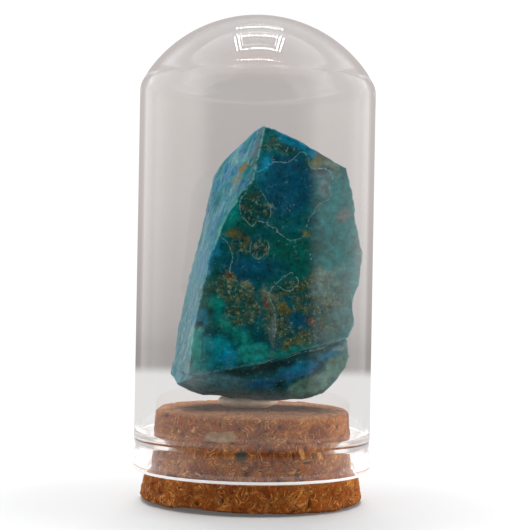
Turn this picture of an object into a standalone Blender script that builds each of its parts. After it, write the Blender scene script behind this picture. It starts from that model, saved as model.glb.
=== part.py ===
"""A rough blue opal on a dab of putty, on a cork base, under a clear glass dome.

Metres, +Z up. The origin is on the table, on the axis of the dome and the cork.
The front of the stone faces -Y.
"""
import math

import bmesh
import bpy
from mathutils import Matrix, Vector

MM = 0.001
GAP = 0.3  # room left between pieces that rest on each other, in mm

# Driving dimensions, in mm. Heights are above the table.
TUBE_RADIUS = 17.0
TUBE_TOP = 58.9
TUBE_WALL = 0.95
DOME_APEX = 69.9
DOME_RADIUS = 19.2
DOME_EDGE = 16.75  # radius where the domed top meets the tube
TOP_WALL = 0.6
CROWN_RADIUS = 17.6  # inside of the domed top
CROWN_EDGE = 15.2
SHOULDER_HEIGHT = 59.6
SHOULDER_ROUND = 3.0
RING_RADIUS = 17.15
RING_BORE = 15.2
RING_HEIGHT = 4.4
SHELF_HEIGHT = 9.9  # where the inside starts to narrow to the ring's bore
SHELF_DROP = 1.9
GLASS_ROUND = 0.5

FOOT_RADIUS = 16.15
SEAT_RADIUS = 15.5
FOOT_HEIGHT = 0.6  # height of the foot's widest place
SEAT_HEIGHT = 4.4
PLUG_RADIUS = 14.6
PLUG_TOP_RADIUS = 14.0
PLUG_TOP = 13.4
CORK_ROUND = 0.4

PUTTY_CENTRE = (-0.7, 0.4)
PUTTY_RADII = (4.3, 3.6)
PUTTY_TOP = 14.3
PUTTY_RINGS = 5

TURNED_STEPS = 48
DOME_STEPS = 12
CROWN_STEPS = 9
ARC_STEP_DEG = 12.0
MERGE = 0.003  # points nearer than this are one, in mm

SMOOTH_DEG = 35
PUTTY_SMOOTH_DEG = 50

# Corners of the stone's main block: (x, y, z) in mm.
RIDGE = [  # edge between the narrow left face and the broad front face, from the peak down
    (1.0, -1.0, 54.0),
    (-0.5, -4.2, 46.0),
    (-4.0, -4.7, 41.2),
    (-6.5, -5.7, 34.3),
    (-8.3, -6.9, 25.0),
    (-9.0, -8.0, 18.1),
]
LEDGE = [  # lower edge of the front face, from the ridge to the right
    (-4.2, -7.2, 19.0),
    (1.4, -6.3, 20.1),
    (7.2, -5.3, 21.9),
    (13.3, -4.2, 24.0),
]
RIGHT_EDGE = [  # right edge of the front face, from the peak down
    (2.6, -1.0, 53.6),
    (4.2, -1.0, 52.7),
    (8.4, -0.6, 50.3),
    (13.0, -0.4, 48.2),
    (14.1, -1.0, 43.2),
    (15.4, -2.1, 35.6),
    (14.2, -3.6, 25.5),
]
LEFT_EDGE = [  # back edge of the left face, from the top down
    (-0.3, 0.5, 53.1),
    (-2.2, 1.9, 51.5),
    (-4.7, 3.5, 49.3),
    (-6.3, 4.5, 47.0),
    (-8.7, 3.5, 35.1),
    (-10.8, 2.5, 26.4),
    (-11.8, 1.5, 19.0),
]
MAIN_BACK = [
    (0.5, 4.5, 51.5),
    (11.0, 6.5, 46.0),
    (12.8, 7.0, 33.0),
    (-5.5, 9.0, 36.0),
    (3.0, 10.5, 30.0),
    (11.0, 7.0, 25.0),
    (-9.0, 7.0, 22.0),
]

# Corners of the layer under the ledge, set back from the front face.
STEP_EDGE = [
    (-8.4, -7.0, 17.9),
    (-4.0, -6.1, 18.8),
    (1.5, -5.2, 19.8),
    (7.2, -4.2, 21.6),
    (13.0, -3.4, 23.7),
]
LAYER_FRONT = [
    (-3.0, -5.4, 16.6),
    (3.5, -4.9, 17.4),
    (9.5, -3.9, 19.0),
]
UNDERSIDE = [
    (-11.8, 1.2, 19.4),
    (-12.0, 0.8, 17.9),
    (-10.8, -3.0, 16.8),
    (-8.0, -2.8, 15.4),
    (-5.8, -2.9, 14.8),
    (3.8, -3.0, 14.6),
    (7.2, -2.6, 14.8),
    (10.1, -1.8, 15.6),
    (12.1, -1.8, 17.9),
    (13.2, -2.2, 19.5),
    (13.8, -2.6, 21.2),
    (10.0, 5.5, 16.6),
    (1.0, 8.0, 15.2),
    (-6.5, 7.0, 15.6),
]
LAYER_TOP = [  # ends inside the main block
    (-7.5, -4.0, 24.0),
    (11.5, -1.5, 28.0),
    (10.5, 6.0, 25.0),
    (1.0, 9.0, 24.0),
    (-8.0, 6.0, 24.0),
]

GLASS_IOR = 1.5
COLOURS = {  # base colour, roughness
    "glass": ((0.90, 0.91, 0.91), 0.05),
    "cork": ((0.42, 0.24, 0.12), 0.85),
    "putty": ((0.45, 0.43, 0.39), 0.70),
    "opal": ((0.02, 0.20, 0.27), 0.35),
}


def clear_scene():
    for obj in list(bpy.data.objects):
        bpy.data.objects.remove(obj, do_unlink=True)


def material(name):
    colour, roughness = COLOURS[name]
    made = bpy.data.materials.new(name)
    made.use_nodes = True
    shader = made.node_tree.nodes["Principled BSDF"]
    shader.inputs["Base Color"].default_value = (*colour, 1.0)
    shader.inputs["Roughness"].default_value = roughness
    shader.inputs["Metallic"].default_value = 0.0
    if name == "glass":
        shader.inputs["Transmission Weight"].default_value = 1.0
        shader.inputs["IOR"].default_value = GLASS_IOR
    return made


def add_object(name, bm, material_name, smooth_deg=None):
    """Turns a bmesh in millimetres into a named object in metres."""
    bmesh.ops.transform(bm, matrix=Matrix.Scale(MM, 4), verts=bm.verts)
    bmesh.ops.recalc_face_normals(bm, faces=bm.faces)
    mesh = bpy.data.meshes.new(name)
    bm.to_mesh(mesh)
    bm.free()
    if smooth_deg is not None:
        mesh.shade_smooth()
        mesh.set_sharp_from_angle(angle=math.radians(smooth_deg))
    mesh.materials.append(material(material_name))
    obj = bpy.data.objects.new(name, mesh)
    bpy.context.scene.collection.objects.link(obj)
    return obj


def rounded(corners):
    """An outline of (r, z, fillet radius) corners, with each fillet as an arc."""
    outline = []
    for i, (r, z, fillet) in enumerate(corners):
        here = Vector((r, z))
        if fillet == 0:
            outline.append(here)
            continue
        to_last = (Vector(corners[i - 1][:2]) - here).normalized()
        to_next = (Vector(corners[i + 1][:2]) - here).normalized()
        half = to_last.angle(to_next) / 2
        centre = here + (to_last + to_next).normalized() * fillet / math.sin(half)
        start = here + to_last * fillet / math.tan(half) - centre
        turn = start.angle_signed(here + to_next * fillet / math.tan(half) - centre)
        steps = max(2, round(abs(math.degrees(turn)) / ARC_STEP_DEG))
        for step in range(steps + 1):
            angle = -turn * step / steps
            outline.append(centre + Matrix.Rotation(angle, 2) @ start)
    return outline


def cap_arc(radius, centre_z, from_r, steps):
    """A dome's profile, from the radius from_r up to the axis."""
    first = math.asin(from_r / radius)
    arc = []
    for step in range(steps + 1):
        angle = first * (1 - step / steps)
        arc.append(Vector((radius * math.sin(angle), centre_z + radius * math.cos(angle))))
    return arc


def turned(outline):
    """A bmesh turned about Z from an outline of (r, z) points that starts and ends on the axis."""
    bm = bmesh.new()
    verts = [bm.verts.new((point.x, 0, point.y)) for point in outline]
    edges = [bm.edges.new(pair) for pair in zip(verts, verts[1:])]
    bmesh.ops.spin(
        bm,
        geom=verts + edges,
        cent=(0, 0, 0),
        axis=(0, 0, 1),
        angle=math.tau,
        steps=TURNED_STEPS,
        use_merge=True,
    )
    bmesh.ops.remove_doubles(bm, verts=bm.verts, dist=MERGE)
    return bm


def glass_dome():
    """Clear tube with a domed top, thicker at its shoulder and in the ring at its mouth."""
    rim = SEAT_HEIGHT + GAP
    wall_radius = TUBE_RADIUS - TUBE_WALL
    outer = rounded([
        (RING_BORE, rim, 0),
        (RING_RADIUS, rim, GLASS_ROUND),
        (TUBE_RADIUS, rim + RING_HEIGHT, 0),
        (TUBE_RADIUS, TUBE_TOP, 0),
    ])
    outer += cap_arc(DOME_RADIUS, DOME_APEX - DOME_RADIUS, DOME_EDGE, DOME_STEPS)
    crown_z = DOME_APEX - TOP_WALL - CROWN_RADIUS
    inner = cap_arc(CROWN_RADIUS, crown_z, CROWN_EDGE, CROWN_STEPS)[::-1]
    inner += rounded([
        (*inner[-1], 0),
        (wall_radius, SHOULDER_HEIGHT, SHOULDER_ROUND),
        (wall_radius, SHELF_HEIGHT, GLASS_ROUND),
        (RING_BORE, SHELF_HEIGHT - SHELF_DROP, GLASS_ROUND),
        (RING_BORE, rim, 0),
    ])[1:]
    return add_object("glass_dome", turned_shell(outer, inner), "glass", SMOOTH_DEG)


def turned_shell(outer, inner):
    """A bmesh turned from an outer outline that ends on the axis and an inner one that starts on it.

    The two meet at the mouth, so together they are one closed skin.
    """
    bm = turned(outer)
    shell = bpy.data.meshes.new("inner_skin")
    skin = turned(inner)
    skin.to_mesh(shell)
    skin.free()
    bm.from_mesh(shell)
    bpy.data.meshes.remove(shell)
    bmesh.ops.remove_doubles(bm, verts=bm.verts, dist=MERGE)
    return bm


def cork_base():
    """Foot, seat for the glass and tapered plug, in one piece."""
    outline = rounded([
        (0, 0, 0),
        (SEAT_RADIUS, 0, 0),
        (FOOT_RADIUS, FOOT_HEIGHT, CORK_ROUND),
        (SEAT_RADIUS, SEAT_HEIGHT, CORK_ROUND),
        (PLUG_RADIUS, SEAT_HEIGHT, 0),
        (PLUG_TOP_RADIUS, PLUG_TOP, CORK_ROUND),
        (0, PLUG_TOP, 0),
    ])
    return add_object("cork_base", turned(outline), "cork", SMOOTH_DEG)


def putty():
    """A dab of putty, pressed to a lens."""
    base = PLUG_TOP + GAP
    height = PUTTY_TOP - base
    profile = [Vector((0, 0))]
    for step in range(PUTTY_RINGS + 1):
        angle = math.pi / 2 * step / PUTTY_RINGS
        profile.append(Vector((math.cos(angle), math.sin(angle))))
    bm = turned(profile)
    size = Matrix.Diagonal((*PUTTY_RADII, height, 1))
    place = Matrix.Translation((*PUTTY_CENTRE, base))
    bmesh.ops.transform(bm, matrix=place @ size, verts=bm.verts)
    return add_object("putty", bm, "putty", PUTTY_SMOOTH_DEG)


def block(name, corners):
    """The convex block that has these corners."""
    bm = bmesh.new()
    for corner in corners:
        bm.verts.new(corner)
    made = bmesh.ops.convex_hull(bm, input=bm.verts)
    inside = [v for v in made["geom_interior"] if isinstance(v, bmesh.types.BMVert)]
    bmesh.ops.delete(bm, geom=inside, context="VERTS")
    return add_object(name, bm, "opal")


def opal():
    """One stone: a main block that overhangs the layer below it."""
    stone = block("opal", RIDGE + LEDGE + RIGHT_EDGE + LEFT_EDGE + MAIN_BACK)
    layer = block("lower_layer", STEP_EDGE + LAYER_FRONT + UNDERSIDE + LAYER_TOP)
    layer.hide_render = True
    layer.display_type = "WIRE"
    union = stone.modifiers.new("join", "BOOLEAN")
    union.operation = "UNION"
    union.object = layer
    return stone


def main():
    clear_scene()
    cork_base()
    glass_dome()
    putty()
    opal()


main()
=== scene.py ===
"""Looks of a rough blue opal on putty and cork, under a clear glass dome."""
import math

import bmesh
import bpy
import numpy as np
from mathutils import Euler, Matrix, Vector, noise


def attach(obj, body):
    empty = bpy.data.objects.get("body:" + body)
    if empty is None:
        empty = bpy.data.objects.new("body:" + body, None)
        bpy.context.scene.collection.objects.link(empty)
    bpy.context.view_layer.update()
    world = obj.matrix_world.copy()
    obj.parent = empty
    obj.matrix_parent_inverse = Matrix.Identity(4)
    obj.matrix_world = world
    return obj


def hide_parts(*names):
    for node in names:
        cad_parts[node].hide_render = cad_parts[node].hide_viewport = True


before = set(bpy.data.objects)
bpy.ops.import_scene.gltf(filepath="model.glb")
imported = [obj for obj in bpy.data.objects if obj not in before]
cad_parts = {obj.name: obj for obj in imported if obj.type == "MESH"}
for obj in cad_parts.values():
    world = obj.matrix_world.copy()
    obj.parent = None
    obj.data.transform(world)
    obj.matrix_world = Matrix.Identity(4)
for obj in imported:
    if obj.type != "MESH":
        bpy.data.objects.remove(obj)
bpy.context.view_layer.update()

MM = 0.001

# ---------------------------------------------------------------- camera, in mm and degrees
PHOTO_SIDE_PX = 530
FOCAL_PX = 1520
SENSOR = 36.0
CAMERA_PLACE = (1.45, -220.0, 33.94)
CAMERA_ROLL_DEG = 1.02

# ---------------------------------------------------------------- glass, in mm
TUBE_RADIUS = 17.0
DOME_APEX = 69.9
DOME_RADIUS = 19.2
DOME_EDGE = 15.8  # radius where the domed top meets the rounded shoulder
TOP_WALL = 0.6
CROWN_RADIUS = 17.6  # inside of the domed top
CROWN_EDGE = 15.2
TUBE_WALL = 0.95
SHOULDER_HEIGHT = 59.6
SHOULDER_ROUND = 3.0
SHOULDER_AIM = (15.5, 62.0)  # (r, z) on the dome that the rounded shoulder runs towards
RING_RADIUS = 17.15
RING_BORE = 15.2
RING_HEIGHT = 4.4
RING_BLEND = 3.0
RIM_HEIGHT = 4.45
MOUTH_MIDDLE = 16.0
MOUTH_ROUND = 0.3
SHELF_HEIGHT = 9.9  # where the inside starts to narrow to the ring's bore
SHELF_DROP = 1.9
SHELF_ROUND = 1.0
EDGE_ROUND = 0.45
GLASS_STEPS = 192
GLASS_SPACING = 1.0
DOME_STEPS = 24
CROWN_STEPS = 20
GLASS_ARC_DEG = 6.0
GLASS_IOR = 1.5
GROUND_COLOURS = [(0.3, (0.86, 0.84, 0.84)), (0.7, (0.96, 0.95, 0.95))]
# painted glow on the ring's ground edge, as though light ran down the glass wall and out at its foot
GROUND_EDGE_PAINTED_GLOW = (1.0, 0.96, 0.94)

# ---------------------------------------------------------------- cork and putty, in mm
FOOT_RADIUS = 16.15
FOOT_HEIGHT = 0.5  # height of the foot's widest place
SEAT_RADIUS = 15.5
SEAT_HEIGHT = 4.4
PLUG_RADIUS = 14.6
PLUG_TOP_RADIUS = 14.0
PLUG_TOP = 13.4
CORK_STEPS = 340
CORK_SPACING = 0.3
CORK_ARC_DEG = 15.0
GRANULE = 2.3
GROOVE_WIDTH = 0.4
GROOVE_DEPTH = 0.10
GRANULE_STEP = 0.12  # most that one granule lies lower than another
PIT_DEPTH = 0.28
GRIT_DEPTH = 0.06
WORN_HEIGHT = 1.2  # height up to which the foot's lower edge is uneven
CHIP_X, CHIP_WIDTH, CHIP_DEPTH = -7.0, 4.5, 0.5  # where the front of the foot's lower edge is worn
PALE_GRANULES = [(-4.0, 10.5, 2.3, 0.8, 4)]  # (x, z, half length, half width, tilt in degrees)
GREEN_GRANULES = [(-1.2, 7.8, 0.9, 0.5, 0), (-5.6, 9.3, 1.0, 0.35, -5)]
CORK_COLOURS = [
    (0.30, (0.19, 0.040, 0.004)), (0.43, (0.27, 0.064, 0.006)), (0.55, (0.33, 0.090, 0.010)),
    (0.68, (0.43, 0.155, 0.026)),
]
CORK_LINES = [  # level of the swirl, half width, colour, strength
    (0.35, 0.050, (0.11, 0.022, 0.003), 0.7), (0.44, 0.024, (0.66, 0.34, 0.11), 0.55),
    (0.48, 0.026, (0.09, 0.018, 0.003), 0.75), (0.57, 0.024, (0.66, 0.35, 0.12), 0.55),
    (0.65, 0.045, (0.10, 0.020, 0.003), 0.7),
]
# painted light: a paler colour for the plug's top face, as though it were strongly lit from above
CORK_TOP_PAINTED_LIGHT = (0.30, 0.19, 0.12)
PALE_COLOUR = (0.36, 0.22, 0.11)
GREEN_COLOUR = (0.05, 0.06, 0.04)
GROOVE_COLOUR = (0.07, 0.022, 0.006)
PIT_COLOUR = (0.035, 0.012, 0.005)
PUTTY_CENTRE = (-0.7, 0.4)
PUTTY_RADII = (4.35, 3.6)
PUTTY_TOP = 15.1
PUTTY_PRESSED = 0.25  # how far the lump would reach past the cork and the stone
PUTTY_BLUNT = 0.8  # 1 is a true oval, and less is a fuller one
PUTTY_STEPS = 40
PUTTY_TURNS = 120
PUTTY_COLOURS = [(0.3, (0.84, 0.61, 0.40)), (0.6, (0.93, 0.72, 0.52))]

# ---------------------------------------------------------------- opal, (x, y, z) corners in mm
STONE_VOXEL = 0.2
OPAL_IOR = 1.45
RIDGE = [  # edge between the narrow left face and the broad front face, from the peak down
    (1.0, -1.0, 54.0), (-0.5, -4.2, 46.0), (-4.0, -4.7, 41.2), (-6.5, -5.7, 34.3),
    (-8.3, -6.9, 25.0), (-9.0, -8.0, 18.1),
]
LEDGE = [  # lower edge of the front face, from the ridge to the right
    (-4.2, -7.2, 19.0), (1.4, -6.3, 20.1), (7.2, -5.3, 21.9), (13.3, -4.2, 24.0),
]
RIGHT_EDGE = [  # right edge of the front face, from the peak down
    (2.6, -1.0, 53.6), (4.2, -1.0, 52.7), (8.4, -0.6, 50.3), (13.0, -0.4, 48.2),
    (14.1, -1.0, 43.2), (15.4, -2.1, 35.6), (14.2, -3.6, 25.5),
]
LEFT_EDGE = [  # back edge of the left face, from the top down
    (-0.3, 0.5, 53.1), (-2.2, 1.9, 51.5), (-4.7, 3.5, 49.3), (-6.3, 4.5, 47.0),
    (-8.7, 3.5, 35.1), (-10.8, 2.5, 26.4), (-11.8, 1.5, 19.0),
]
MAIN_BACK = [
    (0.5, 4.5, 51.5), (11.0, 6.5, 46.0), (12.8, 7.0, 33.0), (-5.5, 9.0, 36.0),
    (3.0, 10.5, 30.0), (11.0, 7.0, 25.0), (-9.0, 7.0, 22.0),
]
STEP_EDGE = [  # top of the layer under the ledge, set back from the front face
    (-8.4, -7.0, 17.9), (-4.0, -6.1, 18.8), (1.5, -5.2, 19.8), (7.2, -4.2, 21.6),
    (13.0, -3.4, 23.7),
]
LAYER_FRONT = [
    (-3.0, -5.4, 16.6), (3.5, -4.9, 17.4), (9.5, -3.9, 19.0),
]
UNDERSIDE = [
    (-11.8, 1.2, 19.4), (-12.0, 0.8, 17.9), (-10.8, -3.0, 16.8), (-8.0, -2.8, 15.4),
    (-5.8, -2.9, 15.1), (3.8, -3.0, 14.6), (7.2, -2.6, 14.8), (10.1, -1.8, 15.6),
    (12.1, -1.8, 17.9), (13.2, -2.2, 19.5), (13.8, -2.6, 21.2), (10.0, 5.5, 16.6),
    (1.0, 8.0, 15.2), (-6.5, 7.0, 15.6),
]
LAYER_TOP = [  # ends inside the main block
    (-7.5, -4.0, 24.0), (11.5, -1.5, 28.0), (10.5, 6.0, 25.0), (1.0, 9.0, 24.0),
    (-8.0, 6.0, 24.0),
]
DENTS = [  # spheres that scoop the stone's outline, as (x, y, z, radius) in mm
    (19.4, -2.6, 28.0, 5.6),
    (18.9, -1.0, 41.3, 4.7),
    (16.2, -4.0, 22.4, 2.4),
    (-9.9, -10.3, 26.0, 2.6),
    (4.5, -1.6, 56.6, 3.2),
]

# ---------------------------------------------------------------- opal's colours
FRONT_WAY = (0.122, -0.980, 0.154)  # the way the broad front face looks
LEFT_WAY = (-0.895, -0.328, 0.300)
RIDGE_WAY = (-0.26, -0.185, -0.947)
STREAK_PRESS = 0.68  # part of the left face's length that its streaks' pattern leaves out
BACK_X, BACK_Z = 2.0, 68.6  # mm, which the back's pattern is measured back from
BULGE_RINGS = 6  # rings of neighbours that tell how sharp an edge is
FRONT_CLOUDS = [(0.3, (0.0, 0.05, 0.07)), (0.5, (0.0, 0.075, 0.088)), (0.7, (0.0, 0.11, 0.11))]
LEFT_CLOUDS = [
    (0.32, (0.0, 0.14, 0.16)), (0.42, (0.02, 0.20, 0.24)), (0.51, (0.01, 0.15, 0.27)),
    (0.58, (0.09, 0.21, 0.35)), (0.64, (0.03, 0.22, 0.25)), (0.74, (0.12, 0.30, 0.30)),
]
LEFT_PALE = (0.17, 0.36, 0.31)
LEFT_DARK = (0.0, 0.09, 0.16)
LEFT_LOW = (0.0, 0.15, 0.195)
OCHRE_CLOUDS = [
    (0.42, (0.0, 0.070, 0.065)), (0.50, (0.035, 0.080, 0.035)), (0.58, (0.09, 0.085, 0.03)),
    (0.66, (0.17, 0.13, 0.035)),
]
MOTTLE = [  # multiplies the front's colours
    (0.34, (0.55, 0.53, 0.48)), (0.44, (0.70, 0.75, 0.71)), (0.50, (0.80, 0.87, 0.87)),
    (0.57, (0.86, 1.0, 1.04)), (0.66, (1.2, 1.34, 1.30)),
]
# Each zone has a name, a colour or a mosaic, the softness and raggedness of its outline in mm,
# a strength, and ovals as (x, z, half length, half width, tilt in degrees) seen from the front.
ZONES = [
    ("mist", (0.01, 0.20, 0.20), 0.8, 1.2, 0.8, [
        (12.1, 41.0, 2.9, 7.2, 0), (11.8, 31.0, 3.6, 7.4, 0), (10.4, 45.5, 1.7, 2.2, 0)]),
    ("forest", (0.0, 0.082, 0.062), 0.8, 0.9, 0.85, [
        (4.3, 36.1, 5.1, 2.0, 0), (6.9, 33.6, 2.5, 2.0, 0), (-6.4, 29.0, 1.2, 2.4, 0),
        (-4.0, 25.0, 2.4, 1.0, -20), (-1.6, 39.4, 2.5, 1.1, 0), (-5.0, 31.1, 2.4, 3.4, 0),
        (2.5, 31.5, 3.4, 1.1, 10)]),
    ("sea", (0.0, 0.13, 0.13), 0.6, 0.7, 0.85, [
        (2.6, 51.6, 2.6, 2.0, 0), (1.0, 47.5, 1.4, 3.0, 12)]),
    ("green", (0.0, 0.22, 0.18), 0.6, 0.7, 0.75, [
        (-3.5, 40.6, 2.4, 0.9, 60), (-1.6, 43.6, 1.4, 0.5, 48), (-5.0, 28.4, 1.3, 1.0, 0),
        (-3.2, 25.6, 2.2, 0.9, -38), (-1.9, 23.9, 2.5, 0.8, -38), (4.5, 21.8, 3.4, 0.6, 16)]),
    ("turquoise", (0.0, 0.22, 0.26), 0.6, 0.8, 0.8, [
        (-4.9, 22.6, 1.9, 1.6, 0), (-5.7, 20.4, 1.6, 1.2, 0), (-7.4, 24.2, 0.5, 0.4, 0)]),
    ("jade", (0.01, 0.27, 0.23), 0.5, 0.7, 0.75, [
        (0.0, 21.6, 2.4, 1.2, 10), (-7.9, 22.4, 1.0, 2.4, 0), (-7.8, 19.4, 1.0, 1.0, 0)]),
    ("grains", "GRAINS", 0.7, 1.1, 0.85, [
        (-2.7, 30.4, 3.0, 1.8, -10), (-1.6, 27.8, 2.4, 2.4, -30), (3.4, 26.2, 1.9, 3.2, 0),
        (8.9, 29.4, 3.6, 3.2, 0), (6.4, 24.0, 2.8, 1.4, 12), (9.4, 25.6, 2.0, 1.4, 0),
        (5.6, 30.6, 2.2, 1.2, 0), (1.8, 50.9, 1.3, 0.3, 8), (2.6, 52.3, 0.5, 0.5, 0),
        (-0.4, 43.9, 1.3, 0.7, 0)]),
    ("navy", (0.0, 0.062, 0.115), 0.8, 0.9, 0.9, [
        (4.4, 45.6, 3.6, 4.4, 0), (-0.7, 32.9, 3.7, 1.5, 0), (6.4, 26.2, 1.8, 1.0, 0),
        (-1.0, 34.0, 4.2, 0.9, 0)]),
    ("ocean", (0.0, 0.19, 0.33), 0.5, 0.8, 0.8, [
        (5.0, 52.0, 3.4, 0.9, -32), (8.1, 50.0, 1.9, 0.8, -28), (1.0, 48.2, 1.6, 0.8, 70),
        (-6.3, 34.4, 2.8, 0.7, 66), (-7.1, 26.3, 0.8, 0.9, 0),
        (-3.4, 20.9, 1.3, 0.9, 0)]),
    ("pebbles", "PEBBLES", 0.2, 0.4, 0.85, [
        (-0.6, 42.0, 1.5, 2.3, 5), (1.4, 41.5, 1.0, 1.1, 0), (0.6, 36.2, 1.3, 1.2, 0),
        (-2.1, 36.4, 1.2, 0.8, 0), (-3.6, 32.2, 1.4, 0.9, -30), (7.5, 29.9, 0.8, 0.8, 0),
        (4.2, 50.8, 1.4, 0.8, -15)]),
    # the pit zone's third oval is a dark band under the ledge, painted shadow; the other two are a pit
    # and a crack
    ("pit", (0.0, 0.02, 0.03), 0.12, 0.25, 0.85, [
        (-7.4, 25.4, 0.4, 0.35, 0), (-7.1, 21.7, 1.2, 0.10, 82), (3.6, 19.7, 2.6, 0.5, 10)]),
    ("sand", (0.22, 0.21, 0.10), 0.4, 0.7, 0.6, [
        (10.1, 48.7, 1.9, 0.5, -30), (8.2, 48.6, 1.2, 0.5, -40), (-1.2, 31.1, 2.0, 0.4, -12),
        (1.4, 30.2, 1.3, 0.5, -30), (9.7, 32.3, 1.6, 1.1, 0), (10.9, 28.6, 1.4, 0.7, -15),
        (-2.6, 46.4, 1.9, 0.35, 62)]),
    ("haze", (0.13, 0.20, 0.19), 0.8, 0.6, 0.6, [
        (12.2, 29.0, 1.8, 4.6, 0), (9.8, 31.0, 2.0, 2.4, 0), (10.6, 24.4, 1.8, 1.3, 0)]),
    ("mauve", (0.17, 0.17, 0.20), 0.5, 0.6, 0.5, [
        (9.4, 47.2, 1.4, 0.6, -10), (9.9, 45.4, 0.9, 1.5, -10), (2.7, 25.3, 0.35, 3.0, 0),
        (-8.8, 19.4, 0.5, 1.0, -8), (0.0, 50.3, 2.6, 0.35, 75)]),
    ("blush", (0.15, 0.095, 0.085), 0.5, 0.4, 0.65, [
        (12.6, 41.3, 1.2, 0.8, 35)]),
    ("mustard", (0.14, 0.10, 0.008), 0.35, 0.9, 0.85, [
        (-3.0, 38.3, 1.1, 0.6, -20), (-1.6, 37.6, 1.0, 0.6, -35), (7.2, 38.6, 0.5, 0.4, 0),
        (8.8, 49.3, 0.9, 0.4, 20), (4.2, 27.8, 0.9, 0.7, 0), (-2.2, 47.6, 0.9, 0.25, 65),
        (5.6, 23.2, 0.8, 0.3, 0)]),
    ("rust", (0.16, 0.06, 0.015), 0.2, 0.8, 0.75, [
        (-3.3, 32.3, 0.4, 0.3, -40), (1.7, 28.4, 0.25, 0.6, 10), (8.1, 26.1, 0.3, 0.22, 0)]),
    ("slate", (0.08, 0.20, 0.23), 0.5, 0.5, 0.9, [
        (-5.0, 17.2, 4.6, 1.6, -8)]),
    ("moss", (0.11, 0.22, 0.17), 0.4, 0.7, 0.85, [
        (8.4, 17.2, 4.2, 1.3, 28), (11.9, 19.6, 1.8, 1.5, 40), (13.4, 21.9, 0.8, 1.7, 0)]),
    ("ink", (0.01, 0.12, 0.25), 0.35, 0.5, 0.9, [
        (1.6, 17.2, 2.8, 0.7, 8), (6.4, 19.0, 3.4, 0.8, 22)]),
    ("azure", (0.0, 0.22, 0.38), 0.3, 0.5, 0.65, [
        (10.4, 21.0, 1.8, 0.6, 20), (7.2, 20.0, 2.6, 0.6, 18)]),
    ("lilac", (0.28, 0.40, 0.44), 0.3, 0.4, 0.6, [
        (12.4, 22.5, 1.0, 0.5, 25)]),
    ("cream", (0.34, 0.42, 0.34), 0.12, 0.3, 0.7, [
        (-8.7, 24.2, 1.2, 0.08, 80), (-9.3, 21.6, 1.6, 0.08, 62), (-9.9, 24.6, 1.4, 0.05, 72),
        (-10.6, 21.0, 1.3, 0.05, 66), (-7.9, 29.4, 1.6, 0.05, 72)]),
    # painted shadow: near-black bands along the foot of the ledge, on the layer under it
    ("shade", (0.0, 0.016, 0.018), 0.35, 0.3, 0.9, [
        (-1.2, 19.1, 2.8, 0.5, 8), (2.0, 19.5, 2.8, 0.6, 13), (6.9, 21.3, 2.0, 0.15, 18)]),
]
GRAINS = [
    (0.0, (0.0, 0.070, 0.062)), (0.22, (0.05, 0.085, 0.03)), (0.40, (0.12, 0.11, 0.025)),
    (0.54, (0.0, 0.09, 0.075)), (0.66, (0.20, 0.17, 0.06)), (0.76, (0.02, 0.035, 0.02)),
    (0.88, (0.10, 0.055, 0.012)), (0.94, (0.0, 0.10, 0.15)),
]
PEBBLES = [
    (0.0, (0.0, 0.045, 0.05)), (0.28, (0.015, 0.06, 0.065)), (0.50, (0.0, 0.075, 0.055)),
    (0.68, (0.03, 0.075, 0.035)), (0.84, (0.07, 0.075, 0.03)), (0.94, (0.16, 0.16, 0.10)),
]
VEIN_COLOUR = (0.22, 0.36, 0.33)
VEINS = [  # thin pale lines on the front, as (x, z) points
    [(-0.2, 46.9), (2.2, 48.2), (4.8, 49.1), (5.8, 50.1), (7.2, 49.7), (7.7, 48.1),
     (10.4, 47.8), (11.1, 46.9), (10.6, 45.5), (10.5, 43.9), (8.9, 42.4), (7.4, 39.8),
     (6.4, 38.1), (4.9, 37.4), (3.2, 38.4), (2.8, 39.5), (0.3, 40.3)],
    [(0.8, 44.1), (2.0, 42.1), (2.3, 41.0), (1.6, 40.1), (0.2, 40.1), (-0.6, 39.5),
     (-1.9, 40.7), (-2.2, 42.4), (-1.4, 44.2)],
    [(-5.0, 37.8), (-3.6, 36.5), (-3.4, 34.8), (-3.5, 33.0), (-2.2, 31.2), (-0.7, 30.2),
     (0.8, 30.6), (2.2, 29.8), (2.8, 27.3), (3.0, 23.4)],
    [(-0.6, 37.0), (-0.7, 35.8), (0.6, 34.8), (2.0, 36.1), (1.8, 36.9)],
    [(2.3, 30.2), (3.5, 31.8), (5.3, 32.8), (6.2, 31.6), (4.9, 30.5), (3.6, 31.1)],
    [(4.6, 20.95), (7.2, 21.7), (10.2, 22.75), (13.0, 23.75)],
]
THREAD_COLOUR = (0.20, 0.30, 0.26)
FLECK_COLOUR = (0.27, 0.23, 0.08)
NET_COLOUR = (0.24, 0.30, 0.22)
CRACK_COLOUR = (0.0, 0.03, 0.035)
SPECK_COLOUR = (0.28, 0.42, 0.38)
# painted highlights: a bright line along the ridge, and bright sharp edges
RIDGE_HIGHLIGHT_COLOUR = (0.20, 0.46, 0.46)
EDGE_HIGHLIGHT_COLOUR = (0.10, 0.32, 0.34)

# ---------------------------------------------------------------- shared by several materials or shapes
ON_AXIS = 1e-6  # mm
FAR = 9.0  # mm, further than any mark reaches
OUTSIDE = -3.0  # mm, the depth in a zone of places well outside it
LINE_CORE = 0.3  # part of a thin line's width, and of a speck's radius, that has its full colour
SPECK_CORE = 0.6

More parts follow.
